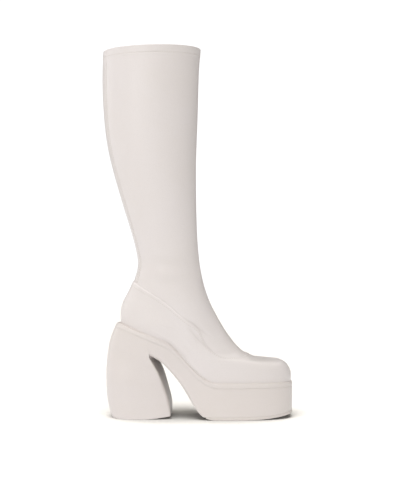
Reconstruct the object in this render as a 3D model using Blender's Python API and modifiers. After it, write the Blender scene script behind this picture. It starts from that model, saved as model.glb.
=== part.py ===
"""Knee-high pull-on boot for the right foot, on a platform with a curved block heel.

Six pieces, as a maker joins them: a hollow upper (shaft and foot in one wall), an insole, a rand that runs
round the top edge of the sole, a platform that runs back under the arch, a heel block and a thin outsole.

Frame: +X to the toe, +Y to the inner (medial) side of the foot, +Z up, floor at Z = 0. The origin is under
the middle of the boot. Sizes are in millimetres and become metres when a mesh is made.
"""

from collections import namedtuple

import bmesh
import bpy
import numpy as np

MM = 0.001
MIDDLE = np.array([-2.15, 0.0, 0.0])  # middle of the boot's length in the tables below

# Driving sizes of the boot
WALL = 2.0  # stretch leather with its lining
GAP = 0.3  # play between pieces that touch
INSOLE_LIFT = 0.5  # play under the insole
INSOLE_THICK = 4.0
OUTSOLE_THICK = 4.0
INSOLE_PLAY = 1.3  # insole edge to the inside of the wall

# Seat line, seen from the side: what the upper stands on
HEEL_SEAT_X = -102.0
HEEL_SEAT_Z = 121.8
HEEL_SEAT_SLOPE = -0.40
ARCH_START_X = -44.0
ARCH_END_X = 26.0
PLATFORM_TOP = 46.3

# Sole edge, outside the foot of the upper
LEDGE_BACK = 5.4
LEDGE_TOE = 2.0
LEDGE_SIDE = 2.3

# Rand: a strip set into the top edge of heel and platform
RAND_HIGH = 6.0
RAND_WIDE = 9.0
RAND_FLARE = 2.8  # how much further back its lower edge is, behind the heel

# Heel block and platform
JOINT_X = -60.4  # where the heel meets the platform, on the boot's middle line
JOINT_SKEW = 0.08  # how much further forward the joint is for each millimetre towards the inner side
TOE_SPRING = 6.0
TOE_SPRING_START_X = 55.0
SOLE_TOE_X = 121.1
OUTSOLE_BACK_X = 9.0

# Left and right curve of the foot
TOE_SWING = 6.0  # the toe turns inwards by this much
TOE_SWING_START_X = -20.0
WAIST_PLACE = 0.38  # share of the foot's length, from the heel
WAIST_SPREAD = 0.17
WAIST_IN_OUTER = 0.15  # how far the outline draws in at the waist, as a share of its width
WAIST_IN_INNER = 0.28

# How finely the forms are faceted
HALF_RING = 22  # steps along one side of an upper ring
RINGS_PER_ROW = 2
HEEL_STEPS = 20
SOLE_STEPS = 48
DENSE = 600
WELD = 0.01  # points closer than this are one point
SHARP_FROM = np.radians(40)  # edges that turn more than this stay sharp
CORNER_WEIGHT = 15.0  # one radian of turning gets as many points as this many millimetres of length
BEND_WEIGHT = 70.0  # the same for the bending of the seat line, seen from the side

OUTER, INNER = -1, 1  # the two sides of the boot, as signs of Y

# Sections of the upper, from the foot line to the collar. Each is a ring with a back point and a front point
# on the boot's profile, the half width, where along its length it is widest, how square its back and front
# are (2 is an ellipse), how closely it follows the dip of the seat line and how much of the waist it keeps.
Ring = namedtuple("Ring", "back_x back_z front_x front_z half widest back_sq front_sq dip waist")
UPPER_RINGS = (
    Ring(-101.2, 122.4, 119.0, 46.8, 43.0, 0.660, 2.80, 2.90, 1.000, 1.00),  # foot line
    Ring(-101.8, 128.5, 119.6, 54.5, 44.1, 0.659, 2.78, 2.90, 0.970, 0.90),  # toe wall
    Ring(-101.8, 133.0, 117.8, 62.0, 44.4, 0.656, 2.75, 2.88, 0.940, 0.80),
    Ring(-101.5, 136.5, 113.0, 68.8, 44.1, 0.651, 2.72, 2.83, 0.905, 0.71),  # toe shoulder
    Ring(-101.1, 139.5, 103.0, 73.8, 43.3, 0.644, 2.69, 2.76, 0.865, 0.62),
    Ring(-100.5, 142.5, 86.5, 75.4, 42.1, 0.635, 2.65, 2.67, 0.820, 0.54),  # toe roof
    Ring(-99.6, 145.5, 69.5, 78.3, 40.7, 0.624, 2.60, 2.57, 0.765, 0.46),
    Ring(-98.3, 149.0, 55.5, 85.6, 39.3, 0.610, 2.54, 2.47, 0.695, 0.38),  # throat
    Ring(-96.4, 153.5, 44.4, 97.0, 38.0, 0.593, 2.46, 2.37, 0.600, 0.29),
    Ring(-93.2, 159.5, 33.7, 112.0, 36.9, 0.573, 2.36, 2.28, 0.460, 0.19),  # instep
    Ring(-88.9, 167.5, 22.6, 131.0, 36.0, 0.551, 2.25, 2.20, 0.290, 0.09),
    Ring(-83.8, 178.5, 11.4, 154.0, 35.2, 0.529, 2.14, 2.12, 0.130, 0.03),
    Ring(-80.2, 190.0, 4.3, 177.0, 34.6, 0.511, 2.05, 2.05, 0.030, 0.00),
    Ring(-79.3, 201.0, 0.6, 199.0, 34.4, 0.500, 2.00, 2.00, 0.000, 0.00),  # ankle
    Ring(-84.0, 224.0, -1.8, 224.0, 36.6, 0.500, 2.00, 2.00, 0.000, 0.00),
    Ring(-94.8, 260.0, -3.4, 260.0, 41.6, 0.500, 2.00, 2.00, 0.000, 0.00),
    Ring(-108.2, 306.8, -4.2, 306.8, 48.0, 0.500, 2.05, 2.00, 0.000, 0.00),
    Ring(-119.0, 353.6, -3.4, 353.6, 53.0, 0.500, 2.10, 2.00, 0.000, 0.00),  # calf
    Ring(-124.2, 400.0, -1.8, 400.0, 55.6, 0.500, 2.10, 2.00, 0.000, 0.00),
    Ring(-125.4, 444.0, -0.1, 445.5, 56.4, 0.500, 2.10, 2.00, 0.000, 0.00),
    Ring(-124.0, 472.2, 1.9, 476.4, 56.0, 0.500, 2.10, 2.00, 0.000, 0.00),  # collar
)

# Heel block, from the floor to the rand: back line, how far its front face is ahead of the joint on the outer
# side, how much of the joint's skew it keeps, and half width
HeelRow = namedtuple("HeelRow", "z back_x ahead skew half")
HEEL_ROWS = (
    HeelRow(0.0, -112.6, 27.3, 0.1, 33.0),
    HeelRow(20.0, -118.2, 25.1, 0.3, 33.8),
    HeelRow(40.0, -120.0, 18.7, 0.4, 34.4),
    HeelRow(60.0, -120.2, 10.3, 0.7, 34.8),
    HeelRow(77.5, -119.0, 0.0, 1.0, 35.2),
    HeelRow(103.0, -114.3, 0.0, 1.0, 35.6),
    HeelRow(115.8, -109.4, 0.0, 1.0, 36.0),
)
HEEL_SQUARE = 2.5
HEEL_WIDEST = 0.5
HEEL_TAPER = 0.12  # how far the heel draws in from its widest place to its front face
HEEL_LIFT = 3.8  # its base leaves the floor by this much at its front edge
HEEL_LIFT_START = 0.55  # share of its length where the base begins to leave the floor
HEEL_LIFT_POWER = 1.5  # how the lift grows from there
HEEL_BLEND = (0.40, 0.77)  # shares of its height between which it takes on the sole's outline
HEEL_LEVELS = (0.0, 0.09, 0.18, 0.28, 0.38, 0.48, 0.58, 0.68, 0.773, 0.85, 0.93, 1.0)
ROUNDS = 12  # rounds to settle a place and a height that depend on each other

# Corners between the heel's sides and its front face: share of its height, and radius there
HeelCorner = namedtuple("HeelCorner", "share radius")
HEEL_CORNERS = (
    HeelCorner(0.05, 1.8),
    HeelCorner(0.18, 4.5),
    HeelCorner(0.45, 4.5),
    HeelCorner(0.66, 3.0),
    HeelCorner(0.80, 1.8),
)

# Underside of the arch, from the heel to the floor
ArchPoint = namedtuple("ArchPoint", "x z")
ARCH_ROWS = (
    ArchPoint(-66.0, 82.0),
    ArchPoint(-49.5, 74.0),
    ArchPoint(-35.0, 59.6),
    ArchPoint(-20.0, 40.0),
    ArchPoint(-8.5, 20.8),
    ArchPoint(2.0, 7.0),
    ArchPoint(14.0, 0.9),
    ArchPoint(26.0, 0.0),
)

# Levels of a sole piece from bottom to top: share of its height, drop below that, and how far it is drawn in
Level = namedtuple("Level", "share drop inset")
PLATFORM_LEVELS = (
    Level(0.0, 0.0, 0.0),
    Level(0.5, 0.0, 0.0),
    Level(1.0, RAND_HIGH, 0.0),
    Level(1.0, RAND_HIGH, RAND_WIDE + GAP),
    Level(1.0, 0.0, RAND_WIDE + GAP),
)
OUTSOLE_LEVELS = (Level(0.0, 0.0, 0.8), Level(0.35, 0.0, 0.0), Level(1.0, 0.0, 0.0))
INSOLE_LEVELS = (Level(0.0, 0.0, 0.0), Level(0.7, 0.0, 0.0), Level(1.0, 0.0, 1.0))

# Section of the rand, from its inner lower corner round its outside to its inner upper corner: drop below the
# seat line, how far it is drawn in, and its share of the flare
RandCorner = namedtuple("RandCorner", "drop inset flare")
RAND_SECTION = (
    RandCorner(RAND_HIGH - GAP, RAND_WIDE, 1.0),
    RandCorner(RAND_HIGH - GAP, 1.0, 0.95),
    RandCorner(RAND_HIGH - GAP - 0.9, 0.0, 0.80),
    RandCorner(2.4, 0.0, 0.40),
    RandCorner(0.7, 0.8, 0.12),
    RandCorner(0.0, 2.4, 0.0),
    RandCorner(0.0, RAND_WIDE, 1.0),
)


def smoothstep(start, end, x):
    """0 before start, 1 after end, with an easy curve between."""
    t = np.clip((np.asarray(x, float) - start) / (end - start), 0.0, 1.0)
    return t * t * (3.0 - 2.0 * t)


def spline(knots, values, at):
    """Natural cubic spline through the rows of values, read at the places in at."""
    knots, values = np.asarray(knots, float), np.asarray(values, float)
    steps = np.diff(knots)
    slopes = np.diff(values, axis=0) / steps.reshape((-1,) + (1,) * (values.ndim - 1))
    system = np.eye(len(knots))
    right = np.zeros_like(values)
    for i in range(1, len(knots) - 1):
        system[i, i - 1 : i + 2] = steps[i - 1], 2 * (steps[i - 1] + steps[i]), steps[i]
        right[i] = 6 * (slopes[i] - slopes[i - 1])
    bend = np.linalg.solve(system, right)
    at = np.asarray(at, float)
    k = np.clip(np.searchsorted(knots, at) - 1, 0, len(steps) - 1)
    shape = (-1,) + (1,) * (values.ndim - 1)
    step = steps[k].reshape(shape)
    before = (at - knots[k]).reshape(shape)
    after = step - before
    cubic = (bend[k] * after**3 + bend[k + 1] * before**3) / (6 * step)
    linear = (values[k] / step - bend[k] * step / 6) * after
    return cubic + linear + (values[k + 1] / step - bend[k + 1] * step / 6) * before


def seat(x):
    """Height of the seat line: a sloping heel seat that drops through the arch to the flat forefoot."""
    heel_line = HEEL_SEAT_Z + HEEL_SEAT_SLOPE * np.maximum(np.asarray(x, float) - HEEL_SEAT_X, 0.0)
    return PLATFORM_TOP + (heel_line - PLATFORM_TOP) * (1 - smoothstep(ARCH_START_X, ARCH_END_X, x))


def toe_spring(x):
    """How far the sole has left the floor at x."""
    run = (np.asarray(x, float) - TOE_SPRING_START_X) / (SOLE_TOE_X - TOE_SPRING_START_X)
    return TOE_SPRING * np.maximum(run, 0.0) ** 2


def arch(x):
    """Height of the underside between heel and forefoot."""
    knots = [row.x for row in ARCH_ROWS]
    heights = spline(knots, [row.z for row in ARCH_ROWS], np.minimum(x, knots[-1]))
    return np.maximum(heights, 0.0)


def turning(run, rise):
    """How much a line turns at each of its steps, in radians."""
    angle = np.unwrap(np.arctan2(rise, run))
    return np.abs(np.diff(angle, prepend=angle[0]))


def even_points(x, y, count, z=None):
    """count + 1 points along a dense plan line, closer together where it turns or its height z bends."""
    dx, dy = np.diff(x), np.diff(y)
    steps = np.hypot(dx, dy)
    cost = steps + CORNER_WEIGHT * turning(dx, dy)
    if z is not None:
        cost = cost + BEND_WEIGHT * turning(steps, np.diff(z))
    travel = np.concatenate([[0.0], np.cumsum(cost)])
    wanted = np.linspace(0.0, travel[-1], count + 1)
    return np.interp(wanted, travel, x), np.interp(wanted, travel, y)


def half_outline(ring, side):
    """Dense plan line of one side of a ring, from its back point to its front point."""
    angle = np.linspace(0.0, np.pi, DENSE)
    behind = angle < np.pi / 2
    square = np.where(behind, ring.back_sq, ring.front_sq)
    reach = np.where(behind, -ring.widest, 1.0 - ring.widest)
    along = ring.widest + reach * np.abs(np.cos(angle)) ** (2 / square)
    depth = ring.waist * (WAIST_IN_OUTER if side == OUTER else WAIST_IN_INNER)
    waist = 1.0 - depth * np.exp(-(((along - WAIST_PLACE) / WAIST_SPREAD) ** 2))
    x = ring.back_x + along * (ring.front_x - ring.back_x)
    y = side * ring.half * np.sin(angle) ** (2 / square) * waist
    return x, y + TOE_SWING * smoothstep(TOE_SWING_START_X, SOLE_TOE_X, x)


def ring_height(ring, x):
    """Height along a ring: a line from back to front, with its share of the seat line's dip."""
    along = (x - ring.back_x) / (ring.front_x - ring.back_x)
    straight = ring.back_z + (ring.front_z - ring.back_z) * along
    ends = seat(np.array([ring.back_x, ring.front_x]))
    return straight + ring.dip * (seat(x) - (ends[0] + (ends[1] - ends[0]) * along))


def upper_rings():
    """All the rings of the upper's outside, smooth between the rows of the table, as an array of points."""
    rows = np.array(UPPER_RINGS)
    fronts = np.hypot(np.diff(rows[:, 2]), np.diff(rows[:, 3]))
    backs = np.hypot(np.diff(rows[:, 0]), np.diff(rows[:, 1]))
    knots = np.concatenate([[0.0], np.cumsum((fronts + backs) / 2)])
    steps = np.arange(RINGS_PER_ROW * (len(rows) - 1) + 1) / RINGS_PER_ROW
    at = np.interp(steps, np.arange(len(rows)), knots)
    rings = []
    for row in spline(knots, rows, at):
        ring = Ring(*row)
        sides = [even_points(*half_outline(ring, side), HALF_RING) for side in (OUTER, INNER)]
        x = np.concatenate([sides[0][0], sides[1][0][::-1]])
        y = np.concatenate([sides[0][1], sides[1][1][::-1]])
        rings.append(np.column_stack([x, y, ring_height(ring, x)]))
    return np.array(rings)


def foot_outline(side, back, toe, width):
    """Dense plan line of a piece: the foot line of the upper, moved out by these margins."""
    foot = UPPER_RINGS[0]
    ring = foot._replace(back_x=foot.back_x - back, front_x=foot.front_x + toe, half=foot.half + width)
    return half_outline(ring, side)


def drawn_in(x, y, side, inset):
    """A whole plan line moved inwards by inset. Its two ends stay on the boot's middle line."""
    dx, dy = np.gradient(x), np.gradient(y)
    length = np.hypot(dx, dy)
    inner_y = y - side * inset * dx / length
    inner_y[[0, -1]] = y[[0, -1]]
    return x + side * inset * dy / length, inner_y


def sole_line(side, inset=0.0, flare=RAND_FLARE):
    """Dense plan line of the sole's outer edge, drawn in by inset."""
    return drawn_in(*foot_outline(side, LEDGE_BACK + flare, LEDGE_TOE, LEDGE_SIDE), side, inset)


def sole_outline(side, inset=0.0, start=-np.inf, count=SOLE_STEPS, flare=RAND_FLARE):
    """Even points on the sole's outer edge, drawn in by inset, from a place along the boot to the toe."""
    x, y = sole_line(side, inset, flare)
    first, toe = max(start, x[0]), x[-1]
    between = (x > first) & (x < toe)
    part_x = np.concatenate([[first], x[between], [toe]])
    return even_points(part_x, np.interp(part_x, x, y), count, seat(part_x))


def joint_x(side, inset=0.0):
    """Where the plane between heel and platform crosses the sole's plan line."""
    x, y = sole_line(side, inset)
    place = JOINT_X
    for _ in range(ROUNDS):
        place = JOINT_X + JOINT_SKEW * np.interp(place, x, y)
    return place


def closed_ring(outer, inner):
    """One ring from the points of its outer half and its inner half, both from back to front."""
    return np.concatenate([outer, inner[::-1]])


def layered_rings(outline, levels, bottom, top):
    """Rings of a piece between two heights that depend on x. outline gives plan lines by side and inset."""
    rings = []
    for level in levels:
        halves = []
        for side in (OUTER, INNER):
            x, y = outline(side, level.inset)
            z = bottom(x) + (top(x) - bottom(x)) * level.share - level.drop
            halves.append(np.column_stack([x, y, z]))
        rings.append(closed_ring(*halves))
    return np.array(rings)


def heel_outline(side, inset=0.0):
    """Plan line of the heel's top, from the back to the joint, with its points gathered towards both ends."""
    x, y = sole_line(side, inset)
    share = (1 - np.cos(np.linspace(0.0, np.pi, HEEL_STEPS + 1))) / 2
    place = x[0] + share * (joint_x(side, inset) - GAP - x[0])
    return place, np.interp(place, x, y)


def heel_half(share, side):
    """One side of the heel block at a share of its height, which turns into the sole's outline at the top."""
    heights = [row.z for row in HEEL_ROWS]
    backs, aheads, skews, halves = np.array([row[1:] for row in HEEL_ROWS]).T
    joint = joint_x(OUTER)
    back, ahead = JOINT_X, 0.0
    for _ in range(ROUNDS):
        back = spline(heights, backs, [share * (seat(back) - RAND_HIGH)])[0]
        ahead = np.interp(share * (seat(joint + ahead) - RAND_HIGH), heights, aheads)
    level = share * heights[-1]
    front = joint + np.interp(level, heights, skews) * (joint_x(side) - joint) + ahead - GAP
    top_x, top_y = heel_outline(side)
    along = (top_x - top_x[0]) / (top_x[-1] - top_x[0])
    x = back + along * (front - back)
    rear = np.clip(1 - along / HEEL_WIDEST, 0.0, 1.0)
    fore = np.clip((along - HEEL_WIDEST) / (1 - HEEL_WIDEST), 0.0, 1.0)
    width = np.interp(level, heights, halves) * (1 - rear**HEEL_SQUARE) ** (1 / HEEL_SQUARE)
    radius = np.interp(share, *np.array(HEEL_CORNERS).T)
    into_corner = np.clip(radius - (front - x), 0.0, radius)
    corner = radius - np.sqrt(radius**2 - into_corner**2)
    block = side * (width * (1 - HEEL_TAPER * fore**2) - corner)
    y = block + (top_y - block) * smoothstep(*HEEL_BLEND, share)
    lift = np.maximum((along - HEEL_LIFT_START) / (1 - HEEL_LIFT_START), 0.0)
    base = HEEL_LIFT * lift**HEEL_LIFT_POWER
    return np.column_stack([x, y, base + share * (seat(x) - RAND_HIGH - base)])


def heel_rings():
    """Rings of the heel block from the floor to the rand, then the step that the rand is set into."""
    body = [closed_ring(heel_half(share, OUTER), heel_half(share, INNER)) for share in HEEL_LEVELS]
    step = (Level(1.0, RAND_HIGH, RAND_WIDE + GAP), Level(1.0, 0.0, RAND_WIDE + GAP))
    return np.concatenate([body, layered_rings(heel_outline, step, seat, seat)])


def platform_rings():
    """Rings of the platform: forefoot block and arch, from the heel joint to the toe."""

    def outline(side, inset):
        return sole_outline(side, inset, start=joint_x(side, inset))

    def underside(x):
        return np.maximum(arch(x), OUTSOLE_THICK + toe_spring(x))

    return layered_rings(outline, PLATFORM_LEVELS, underside, seat)


def outsole_rings():
    """Rings of the outsole: flat under the ball, lifting at the toe and ending under the arch."""

    def outline(side, inset):
        return sole_outline(side, inset, start=OUTSOLE_BACK_X, count=SOLE_STEPS // 2)

    def underside(x):
        return arch(x) + toe_spring(x)

    def top(x):
        return OUTSOLE_THICK - GAP + toe_spring(x)

    return layered_rings(outline, OUTSOLE_LEVELS, underside, top)


def insole_rings():
    """Rings of the insole, which lies on the seat line inside the wall."""

    def outline(side, inset):
        margin = -(WALL + INSOLE_PLAY)
        x, y = drawn_in(*foot_outline(side, margin, margin, margin), side, inset)
        return even_points(x, y, SOLE_STEPS, seat(x))

    def underside(x):
        return seat(x) + INSOLE_LIFT

    def top(x):
        return seat(x) + INSOLE_LIFT + INSOLE_THICK

    return layered_rings(outline, INSOLE_LEVELS, underside, top)


def rand_rings():
    """Rings of the rand, one for each corner of its section, all the way round the sole."""
    rings = []
    for corner in RAND_SECTION:
        halves = []
        for side in (OUTER, INNER):
            x, y = sole_outline(side, corner.inset, flare=RAND_FLARE * corner.flare)
            halves.append(np.column_stack([x, y, seat(x) - corner.drop]))
        rings.append(closed_ring(*halves))
    return np.array(rings)


def loft(name, rings, ends, collection, material):
    """Object from rings of points, bottom ring first. Its ends are open, joined to each other, or capped with
    strips that run from the outer half of the ring to the inner half."""
    mesh = bpy.data.meshes.new(name)
    form = bmesh.new()
    rows = [[form.verts.new((point - MIDDLE) * MM) for point in ring] for ring in rings]
    around = len(rings[0])
    following = rows[1:] + rows[:1] if ends == "joined" else rows[1:]
    for low, high in zip(rows, following):
        for i in range(around):
            j = (i + 1) % around
            form.faces.new((low[i], low[j], high[j], high[i]))
    if ends == "capped":
        for i in range(around // 2 - 1):
            j = around - 1 - i
            form.faces.new((rows[-1][i], rows[-1][i + 1], rows[-1][j - 1], rows[-1][j]))
            form.faces.new((rows[0][j], rows[0][j - 1], rows[0][i + 1], rows[0][i]))
    bmesh.ops.remove_doubles(form, verts=form.verts, dist=WELD * MM)
    form.to_mesh(mesh)
    form.free()
    mesh.shade_smooth()
    mesh.set_sharp_from_angle(angle=SHARP_FROM)
    mesh.materials.append(material)
    piece = bpy.data.objects.new(name, mesh)
    collection.objects.link(piece)
    return piece


def finish(name, colour, roughness):
    """Plain dielectric material."""
    material = bpy.data.materials.new(name)
    material.use_nodes = True
    shader = material.node_tree.nodes["Principled BSDF"]
    shader.inputs["Base Color"].default_value = (*colour, 1.0)
    shader.inputs["Roughness"].default_value = roughness
    shader.inputs["Metallic"].default_value = 0.0
    return material


def main():
    for thing in list(bpy.data.objects):
        bpy.data.objects.remove(thing)
    boot = bpy.data.collections.new("platform_boot")
    bpy.context.scene.collection.children.link(boot)
    leather = finish("off_white_leather", (0.80, 0.76, 0.73), 0.42)
    covered = finish("off_white_covering", (0.78, 0.74, 0.71), 0.45)
    rubber = finish("off_white_rubber", (0.72, 0.68, 0.64), 0.65)
    lining = finish("lining", (0.76, 0.70, 0.64), 0.80)

    upper = loft("upper", upper_rings(), "open", boot, leather)
    wall = upper.modifiers.new("wall", "SOLIDIFY")
    wall.thickness = WALL * MM
    wall.offset = -1.0
    wall.use_even_offset = True
    loft("insole", insole_rings(), "capped", boot, lining)
    loft("rand", rand_rings(), "joined", boot, covered)
    loft("heel", heel_rings(), "capped", boot, covered)
    loft("platform", platform_rings(), "capped", boot, covered)
    loft("outsole", outsole_rings(), "capped", boot, rubber)


main()
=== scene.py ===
"""Looks of a knee-high platform boot for the right foot: leather, seams, lining, covered sole, plain studio.

Lengths are in millimetres and become metres in each mesh. +X is to the toe, +Y to the inner side, +Z up.
"""

import bmesh
import bpy
import numpy as np
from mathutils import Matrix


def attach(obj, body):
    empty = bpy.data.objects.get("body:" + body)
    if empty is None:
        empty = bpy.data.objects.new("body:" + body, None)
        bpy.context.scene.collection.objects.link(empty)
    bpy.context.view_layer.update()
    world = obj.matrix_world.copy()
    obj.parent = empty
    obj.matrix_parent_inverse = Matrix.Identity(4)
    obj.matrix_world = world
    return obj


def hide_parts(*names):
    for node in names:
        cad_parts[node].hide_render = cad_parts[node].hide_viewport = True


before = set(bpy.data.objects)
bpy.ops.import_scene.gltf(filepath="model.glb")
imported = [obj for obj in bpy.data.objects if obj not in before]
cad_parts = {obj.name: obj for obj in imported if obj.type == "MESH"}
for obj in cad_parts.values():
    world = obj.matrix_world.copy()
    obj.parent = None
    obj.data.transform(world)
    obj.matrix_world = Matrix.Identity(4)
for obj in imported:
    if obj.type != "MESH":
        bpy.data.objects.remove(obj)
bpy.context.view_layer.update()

# Foot leather
# Vamp and quarters of the real boot: soft stretch leather cut as one panel, pulled over the last and lasted
# under at the foot line. Its folded upper edge is lapped over the shaft and sewn down.

MM = 0.001
BOOT_MIDDLE_X = -2.15  # middle of the boot's length, in the frame of the tables below

HEEL_SEAT_X, HEEL_SEAT_Z, HEEL_SEAT_SLOPE = -102.0, 121.8, -0.40
ARCH_START_X, ARCH_END_X, PLATFORM_TOP = -44.0, 26.0, 46.3
TOE_SWING, TOE_SWING_START_X, SOLE_TOE_X = 6.0, -20.0, 121.1
WAIST_PLACE, WAIST_SPREAD, WAIST_IN_OUTER, WAIST_IN_INNER = 0.38, 0.17, 0.15, 0.28

# Sections of the last from foot line to collar: back and front point, half width, where it is widest, how
# square its back and front are, how closely it follows the dip of the seat line and how much waist it keeps
LAST_COLUMNS = "back_x back_z front_x front_z half widest back_sq front_sq dip waist".split()
LAST_SECTIONS = np.array([
    (-101.2, 122.4, 119.0, 46.8, 43.0, 0.660, 2.80, 2.90, 1.000, 1.00),  # foot line
    (-101.8, 128.5, 119.6, 54.5, 44.1, 0.659, 2.78, 2.90, 0.970, 0.90),  # toe wall
    (-101.8, 133.0, 117.8, 62.0, 44.4, 0.656, 2.75, 2.88, 0.940, 0.80),
    (-101.5, 136.5, 113.0, 68.8, 44.1, 0.651, 2.72, 2.83, 0.905, 0.71),  # toe shoulder
    (-101.1, 139.5, 103.0, 73.8, 43.3, 0.644, 2.69, 2.76, 0.865, 0.62),
    (-100.5, 142.5, 86.5, 75.4, 42.1, 0.635, 2.65, 2.67, 0.820, 0.54),  # toe roof
    (-99.6, 145.5, 69.5, 78.3, 40.7, 0.624, 2.60, 2.57, 0.765, 0.46),
    (-98.3, 149.0, 55.5, 85.6, 39.3, 0.610, 2.54, 2.47, 0.695, 0.38),  # throat
    (-96.4, 153.5, 44.4, 97.0, 38.0, 0.593, 2.46, 2.37, 0.600, 0.29),
    (-93.2, 159.5, 33.7, 112.0, 36.9, 0.573, 2.36, 2.28, 0.460, 0.19),  # instep
    (-88.9, 167.5, 22.6, 131.0, 36.0, 0.551, 2.25, 2.20, 0.290, 0.09),
    (-83.8, 178.5, 11.4, 154.0, 35.2, 0.529, 2.14, 2.12, 0.130, 0.03),
    (-80.2, 190.0, 4.3, 177.0, 34.6, 0.511, 2.05, 2.05, 0.030, 0.00),
    (-79.3, 201.0, 0.6, 199.0, 34.4, 0.500, 2.00, 2.00, 0.000, 0.00),  # ankle
    (-84.0, 224.0, -1.8, 224.0, 36.6, 0.500, 2.00, 2.00, 0.000, 0.00),
    (-94.8, 260.0, -3.4, 260.0, 41.6, 0.500, 2.00, 2.00, 0.000, 0.00),
    (-108.2, 306.8, -4.2, 306.8, 48.0, 0.500, 2.05, 2.00, 0.000, 0.00),
    (-119.0, 353.6, -3.4, 353.6, 53.0, 0.500, 2.10, 2.00, 0.000, 0.00),  # calf
    (-124.2, 400.0, -1.8, 400.0, 55.6, 0.500, 2.10, 2.00, 0.000, 0.00),
    (-125.4, 444.0, -0.1, 445.5, 56.4, 0.500, 2.10, 2.00, 0.000, 0.00),
    (-124.0, 472.2, 1.9, 476.4, 56.0, 0.500, 2.10, 2.00, 0.000, 0.00),  # collar
])
COLLAR_LEVEL = len(LAST_SECTIONS) - 1
COLUMN_GATHER = 0.025  # how far the columns of a grid are gathered at the two sides
COLUMN_LEAN, LEAN_LEVELS = 0.12, (3.0, 11.0)  # how far they lean forwards, and between which levels

# Foot seam seen from the side (x, z), from the back of the ankle down to the instep and over the throat
FOOT_SEAM = np.array([
    (-92.0, 181.0), (-80.0, 173.2), (-57.7, 159.6), (-37.8, 146.0), (-18.7, 129.8),
    (-5.4, 121.2), (2.6, 112.6), (8.8, 99.0), (18.0, 88.0), (28.0, 81.4),
    (45.5, 79.0), (57.1, 79.8), (64.5, 83.0), (76.0, 90.0),
])
SEAM_LEVELS = np.linspace(2.0, 14.0, 600)  # levels among which each column's crossing is looked for
LEATHER_THICK = 1.0
LAP_RISE, LAP_SHARES = 0.50, (0.84, 0.985)  # how far the foot's folded edge stands out, and where it rises
LAP_UNDER = 0.32  # how far the shaft is pressed in beneath it
# Round of the folded edge, from the outside to the inside: up along the last, and out from it
FOLD = ((0.25, -0.03), (0.48, -0.11), (0.70, -0.26), (0.83, -0.46), (0.80, -0.66), (0.50, -0.76))
# Foot line turned under, from the inside to the outside: down along the last, and out from it
LASTED = ((0.25, -1.0), (0.38, -0.85), (0.42, -0.5), (0.34, -0.18), (0.16, -0.03))
FOOT_COLUMNS, FOOT_ROWS, INSIDE_EVERY = 336, 96, 4  # the inside has every fourth row of the outside
ROWS_GATHERED = 0.45  # how far the rows are gathered at foot line and seam
# Painted highlight on the folded edge at the heel, where it faces up to the light, turning to painted shade
# # at the throat, where it faces away, and where it turns
EDGE_PAINTED_HIGHLIGHT, EDGE_PAINTED_SHADE, EDGE_TURN_X = -1.0, 1.2, (-24.0, -6.0)

# Soft creases where the foot bends, seen from the side: three places on a curve (x, z), then depth and width
CREASE_COLUMNS = "start middle end depth width".split()
CREASES = [dict(zip(CREASE_COLUMNS, row)) for row in (
    ((-14.0, 123.0), (3.5, 101.5), (26.0, 82.0), 0.90, 2.4),  # instep, below the seam
    ((-14.0, 129.0), (1.5, 117.5), (18.0, 104.0), 0.70, 2.2),  # instep, above the seam
    ((22.0, 87.5), (38.0, 84.0), (52.0, 84.0), 0.60, 2.8),  # throat
    ((66.0, 80.0), (86.0, 77.0), (106.0, 74.0), 1.10, 8.0),  # toe roof, pressed flat
    ((-66.0, 186.0), (-42.0, 178.0), (-16.0, 180.0), 0.55, 7.0),  # ankle, lower
    ((-60.0, 205.0), (-38.0, 199.0), (-12.0, 203.0), 0.45, 8.0),  # ankle, upper
    ((-92.0, 137.0), (-78.0, 133.0), (-58.0, 132.0), 0.20, 6.0),  # heel, above the counter's lower edge
    ((-68.0, 114.5), (-34.0, 94.5), (-10.0, 75.0), 0.70, 2.6),  # waist, drawn in to the sole
)]
CREASE_PLACES, CREASE_FADE = np.linspace(0, 1, 48), 0.8  # places along a crease, and power of its fading
RIDGE_SHARE, RIDGE_PLACE = 0.4, 2.0  # height of the ridge beside it, and how many widths away that is


def smoothstep(start, end, x):
    """0 before start, 1 after end, and 3t^2 - 2t^3 between, with t the share of the way."""
    t = np.clip((np.asarray(x, float) - start) / (end - start), 0.0, 1.0)
    return t * t * (3.0 - 2.0 * t)


def spline(knots, values, at):
    """Natural cubic spline: cubics through the rows of values, with equal slope and bend where they meet and
    no bend at the two ends."""
    knots, values, at = (np.asarray(given, float) for given in (knots, values, at))
    shape, at = at.shape + values.shape[1:], at.ravel()
    steps = np.diff(knots)
    wide = (-1,) + (1,) * (values.ndim - 1)
    slopes = np.diff(values, axis=0) / steps.reshape(wide)
    inner = np.arange(1, len(knots) - 1)
    system = np.eye(len(knots))
    system[inner, inner - 1] = steps[:-1]
    system[inner, inner] = 2 * (steps[:-1] + steps[1:])
    system[inner, inner + 1] = steps[1:]
    right = np.zeros_like(values)
    right[inner] = 6 * np.diff(slopes, axis=0)
    bend = np.linalg.solve(system, right)
    k = np.clip(np.searchsorted(knots, at) - 1, 0, len(steps) - 1)
    step, before = steps[k].reshape(wide), (at - knots[k]).reshape(wide)
    after = step - before
    curved = (bend[k] * after**3 + bend[k + 1] * before**3) / (6 * step)
    straight = (values[k] / step - bend[k] * step / 6) * after
    return (curved + straight + (values[k + 1] / step - bend[k + 1] * step / 6) * before).reshape(shape)


def seat(x):
    """Height of the seat line: a slope under the heel that eases through the arch to the level forefoot."""
    heel_line = HEEL_SEAT_Z + HEEL_SEAT_SLOPE * np.maximum(np.asarray(x, float) - HEEL_SEAT_X, 0.0)
    return PLATFORM_TOP + (heel_line - PLATFORM_TOP) * (1 - smoothstep(ARCH_START_X, ARCH_END_X, x))


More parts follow.
